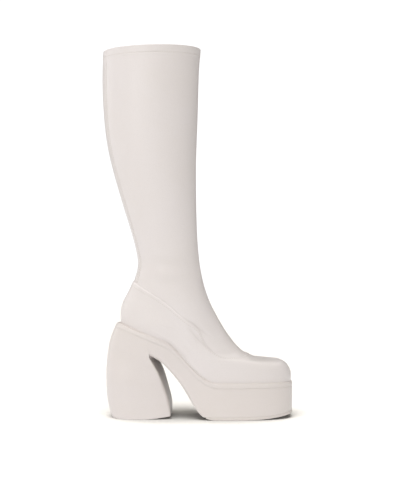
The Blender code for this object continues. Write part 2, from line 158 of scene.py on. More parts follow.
def plan_ring(ring, around):
    """Plan of a ring; around is the share of the way from the back by the outer side to the front and home.
    Each half is a superellipse read by its polar angle, |u|^n + |v|^n = 1 with its own n and length at the
    back and the front, drawn in by a bell curve at the waist and swung inwards at the toe."""
    angle = 2 * np.pi * np.asarray(around)
    ahead, across = -np.cos(angle), np.sin(angle)
    square = np.where(ahead < 0, ring["back_sq"], ring["front_sq"])
    radius = (np.abs(ahead) ** square + np.abs(across) ** square) ** (-1 / square)
    reach = np.where(ahead < 0, ring["widest"], 1 - ring["widest"])
    along = ring["widest"] + reach * ahead * radius
    depth = ring["waist"] * np.where(across > 0, WAIST_IN_OUTER, WAIST_IN_INNER)
    waist = 1 - depth * np.exp(-(((along - WAIST_PLACE) / WAIST_SPREAD) ** 2))
    x = ring["back_x"] + along * (ring["front_x"] - ring["back_x"])
    swing = TOE_SWING * smoothstep(TOE_SWING_START_X, SOLE_TOE_X, x)
    return x, swing - ring["half"] * across * radius * waist


def last_surface(level, around):
    """Outside of the boot at levels (rows of the section table, 0 at the foot line) and shares of the way
    round. The rows are splined along the mean of the back and front lines. The height is the straight line
    from back to front plus that level's share of the seat line's own dip."""
    rows = LAST_SECTIONS
    lengths = (np.hypot(*np.diff(rows[:, 2:4], axis=0).T) + np.hypot(*np.diff(rows[:, 0:2], axis=0).T)) / 2
    knots = np.concatenate([[0.0], np.cumsum(lengths)])
    level, around = np.broadcast_arrays(level, around)
    sections = spline(knots, rows, np.interp(level, np.arange(len(rows)), knots))
    ring = dict(zip(LAST_COLUMNS, np.moveaxis(sections, -1, 0)))
    x, y = plan_ring(ring, around)
    along = (x - ring["back_x"]) / (ring["front_x"] - ring["back_x"])
    back_seat, front_seat = seat(ring["back_x"]), seat(ring["front_x"])
    dip = seat(x) - (back_seat + (front_seat - back_seat) * along)
    z = ring["back_z"] + (ring["front_z"] - ring["back_z"]) * along + ring["dip"] * dip
    return np.stack([x - BOOT_MIDDLE_X, y, z], axis=-1)


def unit(vectors):
    """Vectors divided by their own lengths."""
    return vectors / np.linalg.norm(vectors, axis=-1, keepdims=True)


def outward(points):
    """Unit normals of a grid that closes round its second axis: the cross product of its two differences."""
    round_ring = np.roll(points, -1, axis=1) - np.roll(points, 1, axis=1)
    return unit(np.cross(round_ring, np.gradient(points, axis=0)))


def columns_round(count):
    """Shares of the way round for the columns of a grid: even ones moved by a sine, so that they stand
    closer together at the two sides than at back and front."""
    even = np.arange(count) / count
    return even + COLUMN_GATHER * np.sin(4 * np.pi * even)


def boot_surface(level, column):
    """Points of the last at levels, on columns that lean forwards at the sides as they rise past the instep,
    so that each one crosses the foot seam once."""
    lean = COLUMN_LEAN * np.sin(2 * np.pi * column) * smoothstep(*LEAN_LEVELS, level)
    return last_surface(level, column + lean)


def seam_height(x):
    """Height of the foot seam's side view, straight on beyond its two ends."""
    ends = FOOT_SEAM[[0, -1], 0]
    inside = np.clip(x, *ends)
    z = spline(FOOT_SEAM[:, 0], FOOT_SEAM[:, 1], inside)
    slopes = np.diff(FOOT_SEAM[:, 1])[[0, -1]] / np.diff(FOOT_SEAM[:, 0])[[0, -1]]
    return z + (x - inside) * np.where(x < ends[0], slopes[0], slopes[1])


def seam_level(around):
    """Level at which each column crosses the foot seam: the first one that lies above its side view."""
    levels = SEAM_LEVELS
    points = boot_surface(levels[:, None], around[None, :])
    above = points[..., 2] - seam_height(points[..., 0])
    first = np.argmax(above > 0, axis=0)
    column = np.arange(len(around))
    low, high = above[first - 1, column], above[first, column]
    return levels[first - 1] + (levels[1] - levels[0]) * low / (low - high)


def creased(points):
    """How deep the creases are at each point, seen from the side: a bell-shaped trough about each crease's
    curve with a lower ridge beside it, fading out at its ends. Also the trough alone, from 0 to 1."""
    depth, trough = np.zeros(points.shape[:-1]), np.zeros(points.shape[:-1])
    for crease in CREASES:
        places = np.array([crease["start"], crease["middle"], crease["end"]])
        line = spline([0.0, 0.5, 1.0], places, CREASE_PLACES)
        gap = np.linalg.norm(points[..., None, [0, 2]] - line, axis=-1)
        nearest = np.argmin(gap, axis=-1)
        gap = np.min(gap, axis=-1) / crease["width"]
        fade = np.sin(np.pi * CREASE_PLACES)[nearest] ** CREASE_FADE
        bell = np.exp(-(gap**2)) * fade
        ridge = RIDGE_SHARE * np.exp(-((gap - RIDGE_PLACE) ** 2)) * fade
        depth += crease["depth"] * (bell - ridge)
        # The trough alone is what the leather is darkened by, as painted shade
        trough = np.maximum(trough, bell * min(crease["depth"], 1.0))
    return depth, trough


def grid_faces(rows, columns, close_rows=False):
    """Quads of a grid of points numbered row by row, closed round its columns, and its rows where asked."""
    row = np.arange(rows if close_rows else rows - 1)[:, None]
    column = np.arange(columns)[None, :]
    next_row, next_column = (row + 1) % rows, (column + 1) % columns
    corners = (row * columns + column, row * columns + next_column,
               next_row * columns + next_column, next_row * columns + column)
    return np.stack(np.broadcast_arrays(*corners), axis=-1).reshape(-1, 4)


def shown(name, data):
    """New object of the scene with the given data."""
    thing = bpy.data.objects.new(name, data)
    bpy.context.scene.collection.objects.link(thing)
    return thing


def piece_from(name, points, faces, material, slot, sharp=None, merge=None, **attributes):
    """Object at the origin from points in millimetres and faces. Attributes are one number for each point.
    sharp is the angle in degrees from which edges stay sharp, merge how close points become one."""
    mesh = bpy.data.meshes.new(name)
    corners = faces.tolist() if isinstance(faces, np.ndarray) else faces
    mesh.from_pydata((points.reshape(-1, 3) * MM).tolist(), [], corners)
    for key, values in attributes.items():
        numbers = mesh.attributes.new(key, "FLOAT", "POINT").data
        numbers.foreach_set("value", values.ravel().astype(np.float32))
    if merge:
        form = bmesh.new()
        form.from_mesh(mesh)
        bmesh.ops.remove_doubles(form, verts=form.verts, dist=merge * MM)
        form.to_mesh(mesh)
        form.free()
    mesh.shade_smooth()
    if sharp:
        mesh.set_sharp_from_angle(angle=np.radians(sharp))
    mesh.materials.append(material)
    piece = shown(name, mesh)
    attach(piece, "root")
    return piece


def skin_from(name, skin, material, slot, **settings):
    """Piece from a grid of points that closes round its rows and its columns."""
    faces = grid_faces(*skin.shape[:2], close_rows=True)
    return piece_from(name, skin, faces, material, slot, **settings)


def node(tree, kind, inputs=None, **settings):
    """New node with its settings made and its inputs either set to a value or linked from a socket."""
    made = tree.nodes.new("ShaderNode" + kind)
    for key, value in settings.items():
        setattr(made, key, value)
    for key, value in (inputs or {}).items():
        if isinstance(value, bpy.types.NodeSocket):
            tree.links.new(value, made.inputs[key])
        else:
            made.inputs[key].default_value = value
    return made


def maths(tree, operation, *numbers, clamp=False):
    """Result of a Math node, kept between 0 and 1 where asked."""
    return node(tree, "Math", dict(enumerate(numbers)), operation=operation, use_clamp=clamp).outputs[0]


def blended(tree, share, first, second):
    """Colour that goes from the first to the second by a share."""
    return node(tree, "Mix", {0: share, 6: first, 7: second}, data_type="RGBA").outputs[2]


def noise(tree, place, scale, detail):
    """Noise around one half, with scale ripples to the metre."""
    return node(tree, "TexNoise", {"Vector": place, "Scale": scale, "Detail": detail}).outputs["Fac"]


def mask(tree, value, start, end):
    """0 where the value is start and 1 where it is end, straight between."""
    return node(tree, "MapRange", {"Value": value, "From Min": start, "From Max": end}).outputs[0]


def shader_group(name, inputs, outputs):
    """Empty shader node group with float or colour sockets, and its two end nodes."""
    kinds = {"float": "NodeSocketFloat", "colour": "NodeSocketColor"}
    group = bpy.data.node_groups.new(name, "ShaderNodeTree")
    for direction, sockets in (("INPUT", inputs), ("OUTPUT", outputs)):
        for socket, kind in sockets.items():
            group.interface.new_socket(socket, in_out=direction, socket_type=kinds[kind])
    return group, group.nodes.new("NodeGroupInput").outputs, group.nodes.new("NodeGroupOutput").inputs


WANDER = 0.9  # how far the cells of the grain are shifted from an even pattern
FINE_SHARE = 0.35  # height of the finer noise against that of the cells


def make_grain_group():
    """Leather grain: small rounded cells broken up by finer noise, with larger slow swells. Gives a height,
    and a mask of the pores between the cells."""
    group, given, gives = shader_group(
        "leather_grain", {"Cell": "float", "Swell": "float"}, {"Height": "float", "Pores": "float"})
    place = node(group, "TexCoord").outputs["Object"]
    wander = node(group, "TexNoise", {"Vector": place, "Scale": 420.0, "Detail": 2.0}).outputs["Color"]
    shift = node(group, "VectorMath", {0: wander, "Scale": WANDER * MM}, operation="SCALE").outputs[0]
    moved = node(group, "VectorMath", {0: place, 1: shift}, operation="ADD").outputs[0]
    cells = node(group, "TexVoronoi", {"Vector": moved, "Scale": given["Cell"], "Smoothness": 0.6},
                 feature="SMOOTH_F1").outputs["Distance"]
    dome = mask(group, cells, start=0.75, end=0.05)
    fine = noise(group, place, scale=2600.0, detail=3.0)
    slow = noise(group, place, scale=34.0, detail=2.0)
    grain = maths(group, "MULTIPLY_ADD", fine, FINE_SHARE, dome)
    group.links.new(maths(group, "MULTIPLY_ADD", slow, given["Swell"], grain), gives["Height"])
    group.links.new(mask(group, dome, start=0.45, end=0.05), gives["Pores"])
    return group


DUST, DUST_HIGH = (0.36, 0.33, 0.29), 22.0  # colour of the floor dust, and how far up it reaches
CLOUD_SHARE, CLOUD_MATT = 0.35, 0.5  # how far the clouding changes the dye, and the gloss


def make_tone_group():
    """Uneven dye: a slow warm and cool drift over the hide, faint clouding, and a thin film of floor dust
    that fades upwards. Gives the colour, and how much more matt it is there."""
    group, given, gives = shader_group(
        "hide_tone", {"Colour": "colour", "Warm": "colour", "Drift": "float", "Dust": "float"},
        {"Colour": "colour", "Matt": "float"})
    place = node(group, "TexCoord").outputs["Object"]
    slow = mask(group, noise(group, place, scale=11.0, detail=3.0), start=0.35, end=0.7)
    cloud = mask(group, noise(group, place, scale=95.0, detail=4.0), start=0.4, end=0.75)
    both = maths(group, "MULTIPLY_ADD", cloud, CLOUD_SHARE, slow)
    share = maths(group, "MULTIPLY", both, given["Drift"], clamp=True)
    drifted = blended(group, share, given["Colour"], given["Warm"])
    height = node(group, "SeparateXYZ", {0: place}).outputs[2]
    low = mask(group, height, start=DUST_HIGH * MM, end=0.0)
    film = maths(group, "MULTIPLY", low, noise(group, place, scale=310.0, detail=5.0))
    dusty = maths(group, "MULTIPLY", film, given["Dust"], clamp=True)
    group.links.new(blended(group, dusty, drifted, (*DUST, 1)), gives["Colour"])
    group.links.new(maths(group, "MULTIPLY_ADD", cloud, CLOUD_MATT, dusty), gives["Matt"])
    return group


GRAIN = make_grain_group()
TONE = make_tone_group()


def surface(name):
    """New material with its node tree and its shader."""
    material = bpy.data.materials.new(name)
    material.use_nodes = True
    return material, material.node_tree, material.node_tree.nodes["Principled BSDF"]


def finished(tree, shader, colour, matt, roughness, height, strength, depth):
    """Links to the shader a colour, a roughness that goes from the first to the second of a pair as matt
    goes from 0 to 1, and a bump of the given strength and depth in millimetres."""
    smoothest, roughest = roughness
    rough = node(tree, "MapRange", {"Value": matt, "To Min": smoothest, "To Max": roughest}).outputs[0]
    bump = node(tree, "Bump", {"Height": height, "Strength": strength, "Distance": depth * MM}).outputs[0]
    for socket, value in (("Base Color", colour), ("Roughness", rough), ("Normal", bump)):
        tree.links.new(value, shader.inputs[socket])


LEATHER_DRIFT, LEATHER_SWELL, LEATHER_ROUGHER = 0.5, 1.4, 0.14
# The darkest tone serves the pores and the painted shade, the palest tone the painted highlight
SHADE, PAINTED_HIGHLIGHT_TONE = 0.82, 1.10  # darkest and palest tone, as shares of the dye
PORE_DARK, PAINTED_SHADE_SHARE, PAINTED_HIGHLIGHT_SHARE = 0.10, 0.30, 0.8  # how far the colour goes towards them


def leather(name, colour, warm, cell, depth, gloss, dust=0.0):
    """Smooth finished leather: dyed colour with its drift, slightly darker pores, a bumped grain with cells
    of the given size and depth in millimetres, and a soft wax coat. The attribute crease paints shade into
    the colour where it is above 0 and a highlight where it is below. gloss is the roughness at its
    smoothest."""
    material, tree, shader = surface(name)
    dye = {"Colour": (*colour, 1), "Warm": (*warm, 1), "Drift": LEATHER_DRIFT, "Dust": dust}
    tone = node(tree, "Group", dye, node_tree=TONE).outputs
    grain = node(tree, "Group", {"Cell": 1 / (cell * MM), "Swell": LEATHER_SWELL}, node_tree=GRAIN).outputs
    shade = (*(SHADE * c for c in warm), 1)
    painted_highlight_colour = (*(min(PAINTED_HIGHLIGHT_TONE * c, 1.0) for c in colour), 1)
    pores = maths(tree, "MULTIPLY", grain["Pores"], PORE_DARK)
    # The attribute crease carries painted shade above 0, in crease troughs, seam grooves and the heel's
    # front face, and a painted highlight below 0, on the folded edge
    crease = node(tree, "Attribute", attribute_name="crease").outputs["Fac"]
    darker = maths(tree, "MULTIPLY", crease, PAINTED_SHADE_SHARE, clamp=True)
    paler = maths(tree, "MULTIPLY", crease, -PAINTED_HIGHLIGHT_SHARE, clamp=True)
    dyed = blended(tree, pores, tone["Colour"], shade)
    dyed = blended(tree, paler, blended(tree, darker, dyed, shade), painted_highlight_colour)
    roughness = (gloss, gloss + LEATHER_ROUGHER)
    finished(tree, shader, dyed, tone["Matt"], roughness, grain["Height"], strength=0.6, depth=depth)
    shader.inputs["Coat Weight"].default_value = 0.12
    shader.inputs["Coat Roughness"].default_value = 0.30
    shader.inputs["Specular IOR Level"].default_value = 0.42
    return material


HIDE, HIDE_WARM = (0.740, 0.692, 0.691), (0.720, 0.668, 0.648)
hide = leather("stretch_leather", HIDE, HIDE_WARM, cell=0.9, depth=0.11, gloss=0.40)

foot_around = columns_round(FOOT_COLUMNS)
foot_top = seam_level(foot_around)
step = np.linspace(0, 1, FOOT_ROWS)
foot_share = (1 - ROWS_GATHERED) * step + ROWS_GATHERED * (1 - np.cos(np.pi * step)) / 2
foot_last = boot_surface(foot_share[:, None] * foot_top, foot_around)
foot_normal = outward(foot_last)
foot_depth, foot_trough = creased(foot_last)
lap = LAP_RISE * smoothstep(*LAP_SHARES, foot_share)[:, None]
foot_outside = foot_last + foot_normal * (lap - foot_depth)[..., None]

along_edge = np.roll(foot_last[-1], -1, axis=0) - np.roll(foot_last[-1], 1, axis=0)
up_edge = unit(np.cross(foot_normal[-1], along_edge))
foot_fold = np.array([foot_outside[-1] + up * up_edge + out * foot_normal[-1] for up, out in FOLD])
foot_inside = (foot_outside - LEATHER_THICK * foot_normal)[::-INSIDE_EVERY]
down_edge = unit(foot_last[0] - foot_last[1])
foot_lasted = np.array([foot_last[0] + down * down_edge + out * foot_normal[0] for down, out in LASTED])
foot_skin = np.concatenate([foot_outside, foot_fold, foot_inside, foot_lasted])
# Painted shade in the crease troughs, and on the folded edge a painted highlight at the heel turning to
# painted shade at the throat
painted_shading_mask = np.zeros(foot_skin.shape[:2])
painted_shading_mask[:FOOT_ROWS] = foot_trough
edge_turn = smoothstep(*EDGE_TURN_X, foot_outside[-1, :, 0])
painted_shading_mask[FOOT_ROWS - 2 : FOOT_ROWS + len(FOLD) - 1] = EDGE_PAINTED_HIGHLIGHT + (EDGE_PAINTED_SHADE - EDGE_PAINTED_HIGHLIGHT) * edge_turn
foot = skin_from("foot_leather", foot_skin, hide, "upper_leather", crease=painted_shading_mask)
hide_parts("upper")

# Shaft leather
# The leg of the boot: one stretch panel wrapped round and closed at the back, tucked under the foot's edge
# below and turned in over the lining at the collar, where a row of stitches holds the hem.

HEM, HEM_RISE, HEM_EASE = 12.0, 0.28, 0.6  # its depth, how far it stands out, and half that step's width
HEM_STITCH, HEM_DENT, HEM_DENT_WIDE = 9.0, 0.20, 0.7  # where it is sewn, and the dent along the stitches
HEM_TURN_IN = 11.0  # how deep its turned-in edge is
COLLAR_ROUND, COLLAR_STEPS = 0.95, 9  # radius of the fold at the collar, and points along it
TOP_SPACING = 29.5  # length of the last level before the collar
HEM_START = 16.0  # rows of the hem begin here, below the collar, and are closer at its edge and stitches
HEM_ROWS = np.array([
    15.0, 13.6, 12.8, 12.4, 12.0, 11.6, 11.2, 10.2, 9.6, 9.2, 8.8, 8.2, 7.0, 5.0, 3.2, 2.0, COLLAR_ROUND,
])
# Inside of the hem, from the collar down: how far below it, and how far in from the last
HEM_INSIDE = np.array([
    (2.0, 1.9), (4.0, 1.9), (7.0, 1.9), (9.5, 1.9), (10.6, 1.85),
    (HEM_TURN_IN, 1.6), (HEM_TURN_IN + 0.2, 1.1), (13.0, 1.0),
])
BACK_SEAM = 0.042  # share of the way round, a little to the outer side of the middle
BACK_GROOVE, BACK_GROOVE_WIDE = 0.50, 0.9
BACK_RIDGE, BACK_RIDGE_WIDE, BACK_RIDGE_PLACE = 0.22, 1.1, 2.4
BESIDE_SEAM = np.array([0.0007, 0.0015, 0.0025, 0.0042, 0.0062])  # columns on either side of it
SEAM_CLEAR = 0.0075  # no other column comes closer to it
SHAFT_COLUMNS, SHAFT_ROWS, ROWS_RISE = 308, 128, 1.35  # the last is the power by which rows grow apart
TUCK_ROWS = np.array([-0.34, -0.22, -0.10])  # levels below the seam, under the foot's edge
TUCK_EASE = (0.02, 0.7)  # levels above the seam over which the panel comes out to the last
# Slow unevenness of the panel: depth, waves round the leg, waves for each level, and where they start
DRAPE = ((0.22, 2, 0.19, 0.0), (0.16, 5, -0.31, 0.3))
DRAPE_RISE, DRAPE_CALM = (0.3, 2.0), (0.0, 40.0)  # where it begins, in levels, and ends below the collar

even_columns = columns_round(SHAFT_COLUMNS)
even_columns = even_columns[np.abs(even_columns - BACK_SEAM) > SEAM_CLEAR]
seam_columns = [*(BACK_SEAM - BESIDE_SEAM), BACK_SEAM, *(BACK_SEAM + BESIDE_SEAM)]
shaft_around = np.sort([*even_columns, *seam_columns])
back_column = int(np.argmin(np.abs(shaft_around - BACK_SEAM)))

shaft_start = seam_level(shaft_around)
climb = np.linspace(0, 1, SHAFT_ROWS)[:, None] ** ROWS_RISE
shaft_level = np.concatenate([
    shaft_start + TUCK_ROWS[:, None],
    shaft_start + (COLLAR_LEVEL - HEM_START / TOP_SPACING - shaft_start) * climb,
    np.broadcast_to(COLLAR_LEVEL - HEM_ROWS[:, None] / TOP_SPACING, (len(HEM_ROWS), len(shaft_around))),
])
below_hem = len(shaft_level) - len(HEM_ROWS)
shaft_last = boot_surface(shaft_level, shaft_around)
shaft_normal = outward(shaft_last)
below_collar = (COLLAR_LEVEL - shaft_level) * TOP_SPACING
tucked = -LAP_UNDER * (1 - smoothstep(*TUCK_EASE, shaft_level - shaft_start))
hem = HEM_RISE * (1 - smoothstep(HEM - HEM_EASE, HEM + HEM_EASE, below_collar))
hem -= HEM_DENT * np.exp(-(((below_collar - HEM_STITCH) / HEM_DENT_WIDE) ** 2))
from_back = np.linalg.norm(shaft_last - shaft_last[:, back_column, None], axis=-1)
back_groove = np.exp(-((from_back / BACK_GROOVE_WIDE) ** 2))
back_ridge = np.exp(-(((from_back - BACK_RIDGE_PLACE) / BACK_RIDGE_WIDE) ** 2))
back_seam = BACK_RIDGE * back_ridge - BACK_GROOVE * back_groove
shaft_depth, shaft_trough = creased(shaft_last)
drape = np.zeros_like(shaft_level)
for deep, waves, rise, begin in DRAPE:
    drape += deep * np.sin(2 * np.pi * (waves * shaft_around + rise * shaft_level + begin))
drape *= smoothstep(*DRAPE_RISE, shaft_level - shaft_start) * smoothstep(*DRAPE_CALM, below_collar)
shaft_outside = shaft_last + shaft_normal * (tucked + hem + back_seam + drape - shaft_depth)[..., None]

to_collar = unit(shaft_last[-1] - shaft_last[-2])
turn = np.linspace(0, np.pi, COLLAR_STEPS)[1:, None, None]
over_collar = np.sin(turn) * to_collar + (np.cos(turn) - 1) * shaft_normal[-1]
collar_round = shaft_outside[-1] + COLLAR_ROUND * over_collar
inside_rows, inside_depth = HEM_INSIDE.T
hem_inside = boot_surface(COLLAR_LEVEL - inside_rows[:, None] / TOP_SPACING, shaft_around)
hem_inside = hem_inside - outward(hem_inside[::-1])[::-1] * inside_depth[:, None, None]
shaft_inside = (shaft_outside - LEATHER_THICK * shaft_normal)[below_hem - INSIDE_EVERY :: -INSIDE_EVERY]
shaft_skin = np.concatenate([shaft_outside, collar_round, hem_inside, shaft_inside])
# Painted shade in the crease troughs and in the groove of the back seam
painted_shading_mask = np.zeros(shaft_skin.shape[:2])
painted_shading_mask[: len(shaft_trough)] = np.maximum(shaft_trough, back_groove)
shaft = skin_from("shaft_leather", shaft_skin, hide, "upper_leather", crease=painted_shading_mask)
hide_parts("upper")

# Seam stitches
# Bonded polyester thread in the leather's colour: one row along the foot's lapped edge, one on either side
# of the back seam and one that holds the hem, each stitch pulled into its two holes.

STITCH_PITCH, STITCH_LONG, THREAD = 3.0, 2.3, 0.24
STITCH_RISE, STITCH_SUNK = 1.1, 0.6  # in threads: rise from its ends to its middle, depth of the ends
STITCH_RINGS, STITCH_SIDES = 7, 6
FOOT_STITCH_ROW = -7  # row of the foot's grid
BACK_STITCH_COLUMNS, BACK_STITCH_START = 4, 4  # columns from the back seam, and row of the shaft's grid


def stitch_row(path, normal):
    """Stitches along a path of points with outward normals: each a rod whose thickness is the root of a sine
    along it, and which rises out of the leather as a sine."""
    travel = np.concatenate([[0.0], np.cumsum(np.linalg.norm(np.diff(path, axis=0), axis=1))])
    t = np.linspace(0, 1, STITCH_RINGS)
    middles = np.arange(STITCH_PITCH, travel[-1] - STITCH_PITCH, STITCH_PITCH)
    at = middles[:, None] + STITCH_LONG * (t - 0.5)
    centre = np.stack([np.interp(at, travel, path[:, i]) for i in range(3)], axis=-1)
    out = unit(np.stack([np.interp(at, travel, normal[:, i]) for i in range(3)], axis=-1))
    across = unit(np.cross(np.gradient(centre, axis=1), out))
    centre = centre + out * (THREAD * (STITCH_RISE * np.sin(np.pi * t) - STITCH_SUNK))[:, None]
    thick = (THREAD * np.sin(np.pi * t) ** 0.5)[None, :, None, None]
    turn = 2 * np.pi * np.arange(STITCH_SIDES) / STITCH_SIDES
    spoke = np.cos(turn)[:, None] * across[..., None, :] + np.sin(turn)[:, None] * out[..., None, :]
    return (centre[..., None, :] + thick * spoke).reshape(-1, 3)


WAVE_TO_THREAD = 3.2  # wave texture's own scale, for ribs a thread apart


def cloth(name, colour, dark, thread, depth):
    """Matt fabric: two crossed sets of ribs, thread millimetres apart, over uneven yarn, darker between the
    ribs."""
    material, tree, shader = surface(name)
    place = node(tree, "TexCoord").outputs["Object"]
    wave = {"Vector": place, "Scale": 1 / (thread * MM * WAVE_TO_THREAD), "Distortion": 1.5, "Detail": 1.0}
    ribs = [node(tree, "TexWave", wave, bands_direction=way).outputs["Fac"] for way in ("DIAGONAL", "Z")]
    weave = maths(tree, "MULTIPLY", *ribs)
    yarn = noise(tree, place, scale=60.0, detail=4.0)
    mixed = blended(tree, maths(tree, "MULTIPLY", yarn, weave), (*dark, 1), (*colour, 1))
    finished(tree, shader, mixed, yarn, (0.72, 0.92), weave, strength=0.7, depth=depth)
    shader.inputs["Sheen Weight"].default_value = 0.15
    return material


hem_row = below_hem + int(np.argmin(np.abs(HEM_ROWS - HEM_STITCH)))
back_rows = slice(BACK_STITCH_START, below_hem)
stitched = [
    (foot_outside[FOOT_STITCH_ROW], foot_normal[FOOT_STITCH_ROW]),
    (shaft_outside[hem_row], shaft_normal[hem_row]),
]
for column in (back_column - BACK_STITCH_COLUMNS, back_column + BACK_STITCH_COLUMNS):
    stitched.append((shaft_outside[back_rows, column], shaft_normal[back_rows, column]))
stitch_points = np.concatenate([stitch_row(*path_and_normal) for path_and_normal in stitched])
first_point = np.arange(0, len(stitch_points), STITCH_RINGS * STITCH_SIDES)
stitch_faces = (first_point[:, None, None] + grid_faces(STITCH_RINGS, STITCH_SIDES)).reshape(-1, 4)
thread = cloth("thread", (0.70, 0.655, 0.615), (0.60, 0.555, 0.51), thread=0.2, depth=0.03)
piece_from("seam_stitches", stitch_points, stitch_faces[:, ::-1], thread, "upper_leather", merge=0.002)

# Lining
# Thin brushed knit, bonded to the inside of the leather all over. It runs from just under the turned-in hem
# down to the insole.

LINING_TOP, LINING_FOOT = 11.9, 0.05  # below the collar, and the level where it ends
LINING_DEPTH, LINING_THICK = 2.0, 0.45
LINING_COLUMNS, LINING_ROWS, LINING_BACK_EVERY = 180, 90, 3  # its hidden side has every third row
lining_level = np.linspace(COLLAR_LEVEL - LINING_TOP / TOP_SPACING, LINING_FOOT, LINING_ROWS)[:, None]
lining_last = boot_surface(lining_level, columns_round(LINING_COLUMNS))
lining_normal = outward(lining_last[::-1])[::-1]
lining_inside = lining_last - LINING_DEPTH * lining_normal
lining_outside = (lining_last - (LINING_DEPTH - LINING_THICK) * lining_normal)[::-LINING_BACK_EVERY]
lining_skin = np.concatenate([lining_inside, lining_outside])
lining = cloth("brushed_knit", (0.74, 0.69, 0.63), (0.66, 0.61, 0.55), thread=0.9, depth=0.08)
skin_from("lining", lining_skin, lining, "insole_lining", sharp=50)

# Insole
# Foam board faced with the lining's cloth, cut to the inside of the upper and glued down on the seat. Its
# top is slightly crowned.

INSOLE_LIFT, INSOLE_THICK, INSOLE_EDGE = 0.5, 4.0, 2.7
# Rows from its lower edge to its crown: how far they are drawn in, and share of the thickness
INSOLE_ROWS = (
    (0.3, 0.0), (0.0, 0.1), (0.0, 0.75), (0.25, 0.9), (0.8, 0.98), (1.6, 1.0), (6.0, 1.03), (12.0, 1.06),
)
OUTER, INNER = -1, 1
STATIONS = 220
DENSE, DENSE_GROWING = 3000, 2500  # points of a plan line, and those from the back on where x surely grows


def side_line(side, margins, inset=0.0, start=None, slope=0.0, stations=STATIONS):
    """One side of a sole piece in plan: the foot line moved out by margins at back, toe and side, drawn in
    by inset along its own normal, and cut off behind the line x = start + slope y. Its steps from back to
    toe are even."""
    back, toe, wide = margins
    foot_line = dict(zip(LAST_COLUMNS, LAST_SECTIONS[0]))
    foot_line["back_x"] -= back
    foot_line["front_x"] += toe
    foot_line["half"] += wide
    dense = np.linspace(0, 0.5, DENSE)
    x, y = plan_ring(foot_line, dense if side == OUTER else 1 - dense)
    dx, dy = np.gradient(x), np.gradient(y)
    length = np.hypot(dx, dy)
    x, inner_y = x + side * inset * dy / length, y - side * inset * dx / length
    inner_y[[0, -1]] = y[[0, -1]]
    if start is not None:
        ahead = x - start - slope * inner_y
        share = np.interp(0.0, ahead[:DENSE_GROWING], np.arange(DENSE_GROWING))
        places = np.linspace(share, len(x) - 1, DENSE)
        x, inner_y = (np.interp(places, np.arange(len(x)), line) for line in (x, inner_y))
    travel = np.concatenate([[0.0], np.cumsum(np.hypot(np.diff(x), np.diff(inner_y)))])
    even = np.linspace(0, travel[-1], stations)
    return np.interp(even, travel, x), np.interp(even, travel, inner_y)


def placed(x, y, z):
    """Points of the boot from coordinates in the frame of the tables."""
    return np.stack([x - BOOT_MIDDLE_X, y, z], axis=-1)


def walls(rows, height, margins, start=None):
    """Both walls of a sole piece, from bottom to top: for each row (inset, value) the side line and its
    height(x, value). Arrays of points: station, row, coordinate."""
    both = []
    for side in (OUTER, INNER):
        lines = []
        for inset, value in rows:
            x, y = side_line(side, margins, inset, start)
            lines.append(placed(x, y, height(x, value)))
        both.append(np.stack(lines, axis=1))
    return both


def block_from(name, both_walls, material, slot, sharp, under=None, **attributes):
    """Solid sole piece: at each station a loop up the outer wall, down the inner wall and back over any
    points under it. The first and last stations are filled from wall to wall where they aren't a line."""
    outer, inner = both_walls
    high = outer.shape[1]
    loop = np.concatenate([outer, inner[:, ::-1]] + ([] if under is None else [under]), axis=1)
    stations, length = loop.shape[:2]
    faces = grid_faces(stations, length)[:, ::-1].tolist()
    level = np.arange(high - 1)[:, None]
    ends = np.concatenate([level, level + 1, 2 * high - 2 - level, 2 * high - 1 - level], axis=1)
    below = list(range(2 * high, length))
    for station, order in ((0, 1), (stations - 1, -1)):
        for corners in ends.tolist():
            whole = corners + below if corners[0] == 0 else corners
            faces.append([station * length + corner for corner in whole][::order])
    return piece_from(name, loop, faces, material, slot, sharp=sharp, merge=0.004, **attributes)


def insole_height(x, share):
    """Height at a share of the insole's thickness."""
    return seat(x) + INSOLE_LIFT + share * INSOLE_THICK


insole_walls = walls(INSOLE_ROWS, insole_height, (-INSOLE_EDGE,) * 3)
insole = block_from("insole_board", insole_walls, lining, "insole_lining", sharp=60)
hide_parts("insole")

# Rand
# Strip wrapped in the sole's covering, which runs round the top edge of heel and platform. Its outer edge
# is rounded to a bead with a narrow groove beneath it. Its inner edge turns up against the leather in a
# small cove.

LEDGE_BACK, LEDGE_TOE, LEDGE_SIDE = 5.4, 2.0, 2.3  # sole edge to foot line
RAND_FLARE, RAND_HIGH, RAND_WIDE = 2.8, 6.0, 9.0
RAND_STATIONS = 260
# Section of the strip, from its inner lower corner round the outside: drop, inset and share of the flare
RAND_BEAD = (
    (5.99, RAND_WIDE, 1.00), (5.99, 0.4, 1.00), (5.95, 0.14, 1.00), (5.80, 0.02, 0.97),
    (4.90, 0.0, 0.83), (3.80, 0.0, 0.64), (2.70, 0.0, 0.46), (1.70, 0.10, 0.30),
    (0.90, 0.32, 0.17), (0.30, 0.70, 0.07), (-0.05, 1.15, 0.0),
)
# And on beside the foot line, turned up against the leather and back under it: drop, inset from that line
RAND_COVE = (
    (-0.16, -0.78), (-0.36, -0.46), (-0.70, -0.26), (-1.15, -0.14), (-1.70, -0.10), (-2.10, 0.05),
    (-2.00, 0.45), (0.24, 0.5), (0.24, 2.2), (0.20, 3.4),
)
COVE_FOOT, COVE_END_X = -0.1, (108.0, 117.0)  # drop at its foot, to which it runs out at the toe

